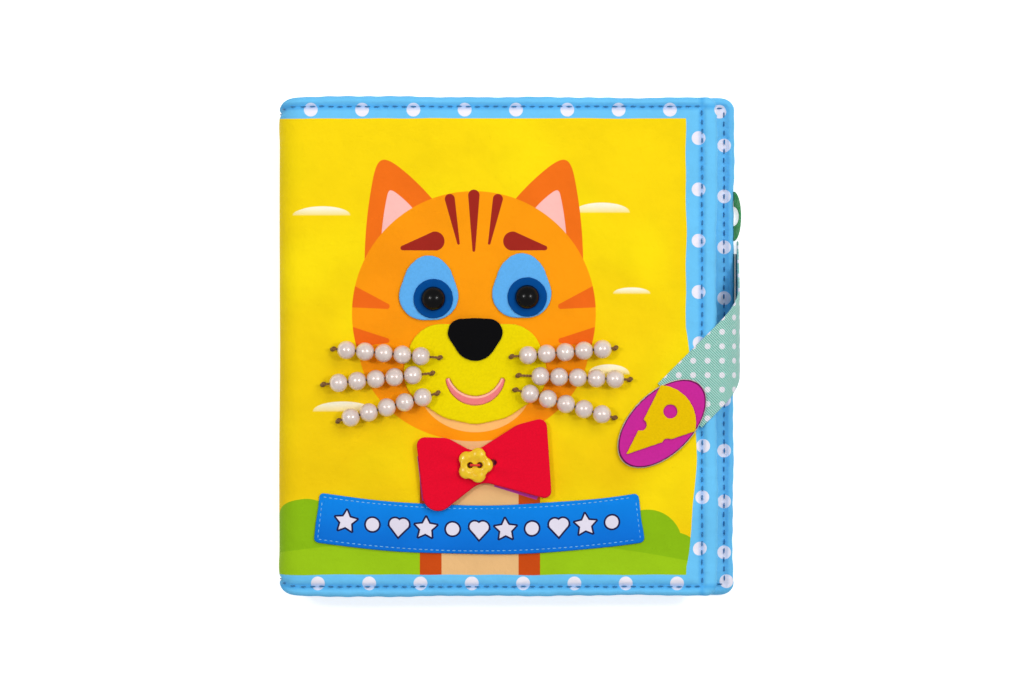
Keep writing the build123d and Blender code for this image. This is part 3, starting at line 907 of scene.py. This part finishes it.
def felted(piece, voxel, rounding, seed, material, slot, node, lift=0.06):
    """Round a flat piece's cut edges, make it a little uneven, as felt is, and put it on the front cover."""
    softened(piece, rounding, 3, 40, voxel, 3)
    co = points_of(piece)
    x, y, z = co.T
    a, b = x / MM, y / MM
    rise = (z - z.min()) / np.ptp(z)
    z = z + lift * MM * rise * (wave(a * 0.35, b * 0.4, seed) + 0.5 * wave(a * 1.3, b * 1.2, seed + 2))
    x = x + 0.05 * MM * wave(b * 2.1, a * 1.7, seed + 4)
    y = y + 0.05 * MM * wave(a * 2.3, b * 1.9, seed + 6)
    move_points(piece, x, y, z)
    settle(dress(smooth(piece), material), "front", slot, node)


def level_of(node):
    """The bottom and the thickness of a flat node."""
    low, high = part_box(node)
    return low.z, high.z - low.z


sky_felt = felt_finish("sky_felt", SKY)
navy_felt = felt_finish("navy_felt", NAVY)

# Eyes: an egg of felt, a dark disc and a domed bead
eye_discs = ((-2.4, 0.0, 10.6), (2.4, 0.0, 10.6), (0.0, 6.2, 10.8), (0.0, 8.7, 9.0))
iris_radius, pupil_height, pupil_edge = 8.65, 4.6 * MM, 0.5 * MM
bead_black = speckled("black_bead", 1.5, rgbs("020203 020203"), (0.0, 1.0), (0.2, 0.06), specular=0.22)
for side, eye_at, iris_at, seed in (
    ("left", (-34.6, 22.1), (-32.6, 20.9), 11.0),
    ("right", (6.0, 23.1), (8.4, 21.6), 14.0),
):
    discs = [(eye_at[0] + x, eye_at[1] + y, radius) for x, y, radius in eye_discs]
    eye = hull_of_discs(f"eye_{side}_felt", discs, *level_of(f"eye_{side}"))
    felted(eye, 0.42, 0.45, seed, sky_felt, "sky_felt", f"eye_{side}")
    iris = disc(f"iris_{side}_felt", *iris_at, iris_radius, *level_of(f"iris_{side}"))
    felted(iris, 0.3, 0.3, seed + 1, navy_felt, "navy_felt", f"iris_{side}", lift=0.04)
    low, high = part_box(f"pupil_{side}")
    radius, base = (high.x - low.x) / 2, (0, 0, -pupil_edge)
    ball = {"segments": 48, "ring_count": 32, "radius": radius}
    pupil = added(f"pupil_{side}_bead", bpy.ops.mesh.primitive_uv_sphere_add, **ball)
    squat = (1, 1, pupil_height / (radius + pupil_edge))
    edited(
        pupil,
        (bpy.ops.mesh.bisect, {"plane_co": base, "plane_no": UP, "use_fill": True, "clear_inner": True}),
        (bpy.ops.transform.resize, {"value": squat, "center_override": base}),
        (bpy.ops.transform.translate, {"value": (low.x + radius, (low.y + high.y) / 2, low.z + pupil_edge)}),
    )
    settle(dress(smooth(pupil, 60), bead_black), "front", "black_bead", f"pupil_{side}")

# Muzzle with the smile cut through it, the smile's inlay, and the nose
muzzle_x = -14.3
muzzle_discs = [(muzzle_x, -18.0, 16.0)]
for side in (-1, 1):
    for across, up, radius in ((14.5, -5.0, 15.0), (16.4, -11.5, 15.0), (7.3, -16.4, 16.0)):
        muzzle_discs.append((muzzle_x + side * across, up, radius))


def arc_points(half, end_y, low_y, steps=28):
    """Points along an arc about the muzzle's middle line, from its left end through its lowest place."""
    sag = end_y - low_y
    radius = (half * half + sag * sag) / (2 * sag)
    swing = asin(min(1.0, half / radius)) if sag <= radius else pi - asin(half / radius)
    turns = [swing * (2 * step / steps - 1) for step in range(steps + 1)]
    return [(muzzle_x + radius * sin(t), low_y + radius * (1 - cos(t))) for t in turns]


def smile(name, inset, bottom, thickness):
    """The band of the smile, a little narrower by the inset."""
    outer, inner = arc_points(13.0, -14.2, -25.7), arc_points(11.2, -13.6, -21.6)
    ring, across = np.array(outer + inner[::-1]), np.array(inner + outer[::-1])
    middle = (ring + across) / 2
    away = ring - middle
    ring = middle + away * (1 - inset / np.linalg.norm(away, axis=1, keepdims=True))
    points = [(x * MM, y * MM, z) for z in (bottom, bottom + thickness) for x, y in ring]
    count, faces = len(ring), []
    for step in range(len(outer) - 1):
        quad = (step, step + 1, count - 2 - step, count - 1 - step)
        faces += [quad[::-1], tuple(v + count for v in quad)]
    for step in range(count):
        after = (step + 1) % count
        faces.append((step, after, after + count, step + count))
    return edited(built(name, points, [], faces), OUTWARD)


def smile_edge(finish):
    """The pale line along the upper side of the smile."""
    x, y, _ = finish.parts(finish.place())
    return (12.9 - reach(x - muzzle_x, y + 9.76)).ink(0.15)


pink_felt = felt_finish("pink_felt", MOUTH_PINK, edge=smile_edge, edge_colour=MOUTH_PEACH)
bottom, thickness = level_of("muzzle")
muzzle = hull_of_discs("muzzle_felt", muzzle_discs, bottom, thickness)
cut(muzzle, smile("smile_hole", 0.0, bottom - MM, thickness + 2 * MM))
felted(muzzle, 0.5, 0.45, 21.0, felt_finish("yellow_felt", MUZZLE_YELLOW), "yellow_felt", "muzzle", lift=0.10)
bottom, thickness = level_of("mouth")
mouth = smile("mouth_felt", 0.12, bottom, thickness + 0.2 * MM)
felted(mouth, 0.26, 0.25, 23.0, pink_felt, "pink_felt", "mouth", lift=0.03)
nose_discs = [(muzzle_x - 5.9, 6.1, 6.1), (muzzle_x + 5.9, 6.1, 6.1), (muzzle_x, 3.1, 9.4)]
nose = hull_of_discs("nose_felt", nose_discs, *level_of("nose"))
felted(nose, 0.4, 0.5, 25.0, felt_finish("black_felt", BEAD_BLACK), "black_felt", "nose")

# Whiskers: outer eyelet, slant in degrees, and the loose cord before and after the pearls
whisker_rows = {
    "left_top": ((-76.8, -1.0), -4.7, 6.4, 8.7),
    "left_middle": ((-81.2, -16.6), 5.9, 7.4, 8.9),
    "left_bottom": ((-74.6, -32.6), 15.6, 6.3, 7.2),
    "right_top": ((47.4, -0.6), -175.3, 6.2, 7.7),
    "right_middle": ((53.7, -14.4), 177.9, 7.0, 10.1),
    "right_bottom": ((47.0, -31.2), 164.2, 6.3, 7.1),
}
pearl_radius, pearl_pitch, pearl_count = 4.0, 8.15, 5
bore_radius, lip = 0.8, 0.35
cord_bend, cord_depth = 1.2, 1.6
twist_pitch, twist_radius, strand_width = 2.6, 0.24, 0.72
pearl_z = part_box("pearls_left_top")[0].z / MM + pearl_radius
felt_thickness = level_of("muzzle")[1] / MM
rise_axis = Vector(UP)


def pearl():
    """One pearl about the X axis, with a bore and a softly rounded lip."""
    start = asin((bore_radius + lip) / pearl_radius)
    turns = [start + (pi - 2 * start) * step / 18 for step in range(19)]
    profile = [(-pearl_radius * cos(turn), pearl_radius * sin(turn)) for turn in turns]
    end = pearl_radius * cos(start)
    profile += [(end - 0.12, bore_radius + 0.08), (end - 0.6, bore_radius), (0.0, bore_radius)]
    profile += [(0.6 - end, bore_radius), (0.12 - end, bore_radius + 0.08)]
    count = len(profile)
    points, edges = [(x * MM, 0, z * MM) for x, z in profile], [(i, (i + 1) % count) for i in range(count)]
    spun = {"steps": 28, "angle": tau, "center": (0, 0, 0), "axis": (1, 0, 0)}
    merged = (bpy.ops.mesh.remove_doubles, {"threshold": 0.01 * MM})
    return edited(built("pearl", points, edges, []), (bpy.ops.mesh.spin, spun), merged, OUTWARD)


def strand(name, points, width=strand_width):
    """A round thread through points. All sizes are in millimetres."""
    curve = bpy.data.curves.new(name, "CURVE")
    curve.dimensions, curve.bevel_depth, curve.bevel_resolution = "3D", width * MM / 2, 2
    curve.use_fill_caps = True
    spline = curve.splines.new("POLY")
    spline.points.add(len(points) - 1)
    for point, place in zip(spline.points, points):
        point.co = (*(Vector(place) * MM), 1)
    only(linked(name, curve))
    bpy.ops.object.convert(target="MESH")
    return smooth(bpy.context.active_object)


def whisker_route(span, steps=140):
    """The cord's place and height over its own line: up from one eyelet, level, and down into the other."""
    level = pearl_z - cover_face / MM
    rise, arc = cord_depth + level - cord_bend, cord_bend * pi / 2
    total = 2 * (rise + arc) + span - 2 * cord_bend
    route = []
    for step in range(steps + 1):
        s = total * step / steps
        back = min(s, total - s)
        turn = min(max(back - rise, 0.0) / cord_bend, pi / 2)
        x = cord_bend * (1 - cos(turn)) + max(back - rise - arc, 0.0)
        z = min(back, rise) - cord_depth + cord_bend * sin(turn)
        route.append((x if s <= total / 2 else span - x, z, s))
    return route


lustre = {"metallic": 0.25, "coat": 0.7, "coat_roughness": 0.2}
pearl_coat = speckled("pearl_lustre", 0.35, (PEARL, rgb("E2CEC6")), (0.3, 0.75), (0.3, 0.02), **lustre)
cord_thread = thread_finish("cord_thread", CORD_BROWN)
for name, (outer, slant, before, after) in whisker_rows.items():
    span = before + (pearl_count - 1) * pearl_pitch + after
    turn = radians(slant)
    along = Vector((cos(turn), sin(turn), 0))
    across = Vector((-along.y, along.x, 0))
    start = Vector((*outer, cover_face / MM))
    places = []
    for number in range(pearl_count):
        middle = start + along * (before + number * pearl_pitch)
        middle.z = pearl_z
        places.append(frame_at(middle * MM, along) @ Matrix.Rotation(1.1 * number, 4, "X"))
    row = replicated(f"pearl_row_{name}", pearl(), places)
    settle(dress(row, pearl_coat), f"pearls_{name}_body", "pearl", f"pearls_{name}")
    strands = []
    for half_turn in (0.0, pi):
        points = []
        for x, z, s in whisker_route(span):
            phase = tau * s / twist_pitch + half_turn
            around = twist_radius * (across * cos(phase) + rise_axis * sin(phase))
            points.append(start + along * x + rise_axis * z + around)
        strands.append(strand(f"strand_{name}", points))
    for end, sign, height in ((0.0, 1, 0.45), (span, -1, 0.45 + felt_thickness)):
        knot = []
        for step in range(25):
            phase = tau * step / 24 * 1.5
            swing = 0.95 + 0.25 * sin(phase * 2)
            around = along * (sign * 0.5 + swing * cos(phase)) + across * (0.8 * swing * sin(phase))
            knot.append(start + along * end + around + rise_axis * (height + 0.25 * sin(phase * 1.5)))
        strands.append(strand(f"knot_{name}", knot))
    cord = joined(f"whisker_thread_{name}", strands)
    settle(dress(cord, cord_thread), "front", "brown_cord", f"whisker_cord_{name}")


# Bow: felt, a little puffed, drawn in under the button
def merged_copy(node, name):
    """A copy of a CAD node's mesh, merged into one skin."""
    copy = linked(name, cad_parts[node].data.copy())
    merged = (bpy.ops.mesh.remove_doubles, {"threshold": 0.005 * MM})
    return edited(copy, merged, (bpy.ops.mesh.dissolve_limited, {"angle_limit": radians(2)}))


button_x, button_y = -14.4, -51.7
bow = softened(merged_copy("bow", "bow_felt"), 0.9, 4, 50, 0.5, 6)
co = points_of(bow)
x, y = co[:, 0] / MM, co[:, 1] / MM
away, bearing = np.hypot(x - button_x, y - button_y), np.arctan2(y - button_y, x - button_x)
co[:, 0] += 1.3 * MM * hill(x + 22.4, 3.2) * hill(y + 55.4, 4.0)
x = co[:, 0] / MM
fold = 0.22 * hill(away - 11, 7.0) * np.cos(bearing * 9 + 1.0)
puff = 0.018 * np.clip(away - 14, 0, None) + 0.12 * wave(x * 0.2, y * 0.24, 4.0)
co[:, 2] += MM * (-0.25 * hill(away, 9.0) + fold + puff)
move_points(bow, co)
settle(dress(smooth(bow), felt_finish("red_felt", BOW_RED, fuzz=1.2)), "bow_body", "red_felt", "bow")

# Flower button: domed petals about a dished middle with two holes
button_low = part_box("flower_button")[0].z
petal_count, petal_ring, petal_radius, core_radius = 5, 4.5, 3.4, 6.3
hole_pitch, hole_radius, dish_radius, dish_rise = 4.2, 1.3, 8.6, 10.2
petal_shape = {"segments": 36, "ring_count": 20, "radius": petal_radius * MM, "scale": (1, 1, 0.42)}
petals = []
for number in range(petal_count):
    turn = number * tau / petal_count
    x, y = button_x + petal_ring * cos(turn), button_y + petal_ring * sin(turn)
    where = (x * MM, y * MM, button_low + 1.35 * MM)
    petals.append(added("petal", bpy.ops.mesh.primitive_uv_sphere_add, where, **petal_shape))
core = disc("button_core", button_x, button_y, core_radius, button_low, 2.5 * MM)
button = joined("button_flower", petals + [core])
modified(button, "REMESH", mode="VOXEL", voxel_size=0.22 * MM)
where = (button_x * MM, button_y * MM, button_low + dish_rise * MM)
dish_shape = {"segments": 64, "ring_count": 40, "radius": dish_radius * MM}
dish = added("dish", bpy.ops.mesh.primitive_uv_sphere_add, where, **dish_shape)
holes = []
for side in (-1, 1):
    hole_at = (button_x + side * hole_pitch / 2, button_y)
    holes.append(disc("hole", *hole_at, hole_radius, button_low - MM, 6 * MM, vertices=32))
cut(button, dish, *holes)
modified(button, "REMESH", mode="VOXEL", voxel_size=0.2 * MM)
modified(button, "SMOOTH", factor=0.5, iterations=12)
colours = (BUTTON_YELLOW, rgb("E8B800"))
gloss = {"coat": 0.3, "coat_roughness": 0.1}
yellow_plastic = speckled("yellow_plastic", 0.5, colours, (0.3, 0.7), (0.22, 0.1), **gloss)
settle(dress(smooth(button), yellow_plastic), "front", "yellow_plastic", "flower_button")

strands = []
for side, raised in ((-1, 0.0), (0, 0.2), (1, 0.0)):
    points = []
    for step in range(25):
        turn = pi * step / 24
        x = button_x - cos(turn) * hole_pitch / 2
        y = button_y + side * 0.35 * (0.5 + 0.5 * cos(turn) ** 2)
        drop = 4.2 * (1 - sin(turn)) ** 6
        points.append((x, y, button_low / MM + 1.9 + 0.45 * sin(turn) ** 0.6 + raised - drop))
    strands.append(strand("button_strand", points, 0.5))
button_strands = dress(joined("button_strands", strands), thread_finish("red_thread", THREAD_RED))
settle(button_strands, "front", "red_thread", "button_thread")

# Banner: a stitched cloth label with a row of plain printed shapes
banner_low, banner_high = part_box("banner")
banner_length, banner_width, banner_flare = 139.1 * MM, 21.4 * MM, 2.6 * MM
banner_left, banner_right = -82.2 * MM, 56.9 * MM
banner_end_y, banner_sag = -74.6 * MM, 5.4 * MM
banner_thickness = banner_high.z - banner_low.z
banner_inset, banner_pitch = 1.5 * MM, 2.35 * MM
shape_pitch = 11.4


def banner_place(along, up):
    """A point of the banner from its flat place, along from its left end and up from its middle."""
    share = along / banner_length
    flared = banner_flare * (0.5 - up / banner_width)
    x = banner_left - flared + share * (banner_right - banner_left + 2 * flared)
    return x, banner_end_y + up - banner_sag * (1 - (2 * share - 1) ** 2)


def thin_cloth(name, length, width, thickness, step, rim):
    """Add a thin padded rectangle from (0, -width / 2), closed at a small round rim."""
    counts = (int(length / step) + 6, int(width / step) + 6)
    obj, co, side = padded_grid(name, length, width, *counts, rim, 3, 0.2 * thickness)
    x, y, _ = co.T
    edge = np.minimum(np.minimum(x, length - x), width / 2 - np.abs(y))
    return obj, x, y, edge, side, np.maximum(thickness / 2 * rolled(edge, rim), 0.1 * thickness)


banner, along, up, edge, side, half = thin_cloth(
    "banner_label", banner_length, banner_width, banner_thickness, 0.8 * MM, 0.6 * MM
)
a, b = along / MM, up / MM
dip = 0.28 * MM * hill(edge - banner_inset, 0.5 * MM) * (1 + 0.3 * np.cos(tau * (along + up) / banner_pitch))
ends = np.minimum(along, banner_length - along)
pull_along, pull_up = rounded(ends, banner_width / 2 - np.abs(up), 2.0 * MM)
x, y = banner_place(along + np.sign(banner_length / 2 - along) * pull_along, up - np.sign(up) * pull_up)
x = x + 0.2 * MM * wave(b * 0.5, a * 0.1, 31.0)
y = y + 0.25 * MM * wave(a * 0.14, b * 0.1, 32.0)
lift = 0.18 * MM * wave(a * 0.09, b * 0.1, 33.0)
move_points(banner, x, y, banner_low.z + banner_thickness / 2 + side * half + (lift - dip) * (side > 0))
write_map(banner, along, up)


def star_depth(dx, dy, tip=4.7, valley=2.4):
    """How far a place is inside a star with five points, measured from its sides."""
    away = reach(dx, dy)
    turn = abs(dx.math("ARCTAN2", dy).wrapped(tau / 5))
    side = (valley * cos(pi / 5) - tip, valley * sin(pi / 5))
    return ((away * turn.math("COSINE") - tip) * side[1] - away * turn.sine() * side[0]) * (-1 / hypot(*side))


def heart_depth(dx, dy, slant=0.853):
    """How far a place is inside a heart."""
    wide = abs(dx)
    point = (4.3 + dy) * cos(slant) - wide * sin(slant)
    return (2.35 - reach(wide - 1.75, dy - 1.2)).above(point.below(-0.35 - dy))


def banner_print():
    """A row of stars, dots and hearts, pale with a navy outline."""
    finish = Finish("banner_print")
    u, v = cloth_map(finish)
    repeat, third = (u - 23.9).wrapped(3 * shape_pitch), (u - 12.5).wrapped(shape_pitch)
    star, heart = star_depth(repeat + shape_pitch, v), heart_depth(repeat - shape_pitch, v)
    depth = star.above(2.8 - reach(repeat, v)).above(heart)
    row, near = band(u, 6.8, 131.4), (5.6 - reach(third, v)).ink()
    shade = finish.mix((v / 21.4 + 0.5).ramp(0.0, 1.0), rgb("0070D8"), BANNER_BLUE)
    outline = (depth + 0.8).ink() * row * near
    shade = finish.layered(shade, [(outline, SHAPE_NAVY), (depth.ink() * row, SHAPE_PALE)])
    return cloth_finish(finish, shade, u, v, crease=0.12)


settle(dress(smooth(banner), banner_print()), "front", "banner_cloth", "banner")
places = []
rise = banner_high.z - 0.22 * MM
seam_length, seam_width = banner_length - 2 * banner_inset, banner_width - 2 * banner_inset
for sign in (1, -1):
    for number in range(int(seam_length / banner_pitch)):
        along = banner_inset + (number + 0.5) * banner_pitch
        a, b = (banner_place(along + step * MM, sign * seam_width / 2) for step in (-0.1, 0.1))
        places.append(frame_at((*a, rise), (b[0] - a[0], b[1] - a[1], 0)))
    for number in range(int(seam_width / banner_pitch)):
        up = (number + 0.5) * banner_pitch - seam_width / 2
        at = banner_place(banner_length / 2 + sign * seam_length / 2, up)
        places.append(frame_at((*at, rise), (-0.1 * sign, 1, 0)))
banner_seam = replicated("banner_seam", stitch(1.55 * MM, 0.42 * MM), places)
settle(dress(banner_seam, thread_finish("banner_thread", BANNER_THREAD)), "front", "banner_cloth")

# Strap: a ribbed ribbon that slants over the cover and bends down over the open edge
strap_width, strap_thickness = 27.2 * MM, 1.0 * MM
tab_x, tab_y, strap_start = 67.2 * MM, -33.6 * MM, 11.0 * MM
strap_low, strap_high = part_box("strap")
bend_start, strap_middle = 90.0 * MM, cover_face + strap_thickness / 2
bend_radius = strap_high.x - strap_thickness / 2 - bend_start
bend_length = bend_radius * pi / 2
strap_span = (bend_start + bend_length + strap_middle - bend_radius - strap_low.z - tab_x) / SLANT
strap_mean = strap_span - strap_start
strap, along, over, edge, side, half = thin_cloth(
    "strap_ribbon", strap_mean, strap_width, strap_thickness, 0.9 * MM, 0.35 * MM
)
run = strap_start + along / strap_mean * (strap_mean + over)
flat_x, flat_y = tab_x + (run - over) * SLANT, tab_y + (run + over) * SLANT
out, down, sine, cosine = over_edge(flat_x - bend_start, bend_radius)
bulge = 0.25 * MM * wave(run / MM * 0.09, over / MM * 0.1, 41.0)
bulge *= np.clip((flat_x - bend_start) / bend_length, 0, 1)
raised = side * half * 0.85 + np.clip(bulge, 0, None)
move_points(strap, bend_start + out + sine * raised, flat_y, strap_middle - down + cosine * raised)
write_map(strap, run, over)


def ribbon_finish(name, colour, dots=True, rib=0.85):
    """Ribbed ribbon: ribs across it and pale spots in staggered rows."""
    finish = Finish(name)
    u, v = cloth_map(finish)
    ribs = (u * (tau / rib)).sine()
    fine = finish.noise(finish.vector(u, v), 1.2)
    dark, pale = tuple(0.5 * c for c in colour), tuple(min(1.0, 1.15 * c) for c in colour)
    # Painted shade and painted highlight: the ribs are darker in their grooves and paler on their tops
    shade = finish.mix(ribs.ramp(-0.6, 0.7), dark, pale)
    shade = finish.mix(fine.ramp(0.4, 0.8) * 0.25, shade, (0.75, 0.85, 0.82))
    if dots:
        a, b = ((u - v) * SLANT - 1.0).wrapped(6.3), ((u + v) * SLANT - 2.2).wrapped(6.3)
        # The spots also carry painted shade: greyer in the ribs' grooves and whiter on their tops
        spot = finish.mix(ribs.ramp(-0.8, 1.0), *rgbs("D4D4DC F6F4FA"))
        shade = finish.mix((1.3 - reach(a, b)).ink(0.15), shade, spot)
    normal = finish.bump(ribs, 0.09 * MM, strength=0.8)
    finish.set(color=shade, roughness=0.55, normal=normal)
    return finish.set(sheen=0.2, sheen_roughness=0.4, specular=0.4)


settle(dress(smooth(strap), ribbon_finish("teal_ribbon", RIBBON_TEAL)), "front", "strap_ribbon", "strap")


# Tab: pale lining, magenta oval and a cheese wedge of felt
def oval(name, length, width, bottom, thickness):
    piece = added(name, bpy.ops.mesh.primitive_cylinder_add, vertices=120, radius=1, depth=1)
    size = {"value": (length / 2, width / 2, thickness), "center_override": (0, 0, 0)}
    x, y, z = points_of(edited(piece, (bpy.ops.transform.resize, size))).T
    move_points(piece, (x - y) * SLANT + tab_x, (x + y) * SLANT + tab_y, z + bottom + thickness / 2)
    return piece


def tab_edge(finish):
    """The dark cut line just inside the oval's edge."""
    x, y, _ = finish.parts(finish.place())
    dx, dy = x - tab_x / MM, y - tab_y / MM
    return (reach((dx + dy) * SLANT / 23.6, (dy - dx) * SLANT / 13.3) - 0.962).ramp(0.0, 0.012)


lining = oval("tab_lining_felt", 48.0 * MM, 27.4 * MM, *level_of("tab_lining"))
felted(lining, 0.4, 0.35, 51.0, felt_finish("lining_felt", LINING), "lining_felt", "tab_lining")
tab = oval("tab_felt", 47.2 * MM, 26.6 * MM, *level_of("tab"))
felted(tab, 0.4, 0.35, 53.0, felt_finish("magenta_felt", TAB_MAGENTA, edge=tab_edge), "magenta_felt", "tab")
cheese = merged_copy("cheese", "cheese_felt")
felted(cheese, 0.36, 0.35, 55.0, felt_finish("cheese_felt", CHEESE), "cheese_felt", "cheese")

# Fastening strips, and the ribbon loop in the back cover's edge
tape = Finish("strip_tape")
hooks = tape.noise(tape.place(), 2.4, detail=1.0)
teals = tape.mix(hooks, rgb("14505C"), TAPE_TEAL)
tape_teal = tape.set(color=teals, roughness=0.8, normal=tape.bump(hooks, 0.3 * MM))
for node in ("hook_strip", "loop_strip"):
    dress(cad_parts[node], tape_teal)

loop = softened(merged_copy("ribbon_loop", "loop_ribbon"), 0.5, 3, 50, 0.25, 4)
low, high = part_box("ribbon_loop")
loop_middle, loop_z = (low.y + high.y) / 2, (low.z + high.z) / 2
x, y, z = points_of(loop).T
a, b = (x - low.x) / (high.x - low.x), (y - loop_middle) / (high.y - loop_middle)
turn, outward = np.arctan2(a, b), np.hypot(a, b)
write_map(loop, turn * 10 * MM, z - loop_z + outward * 2 * MM)
move_points(loop, x, y, z + 0.9 * MM * (0.75 - outward) * np.sin(turn) + 0.25 * MM * np.cos(2 * turn))
loop_green = ribbon_finish("green_ribbon", LOOP_GREEN, dots=False, rib=0.6)
settle(dress(smooth(loop), loop_green), "back", "green_ribbon", "ribbon_loop")
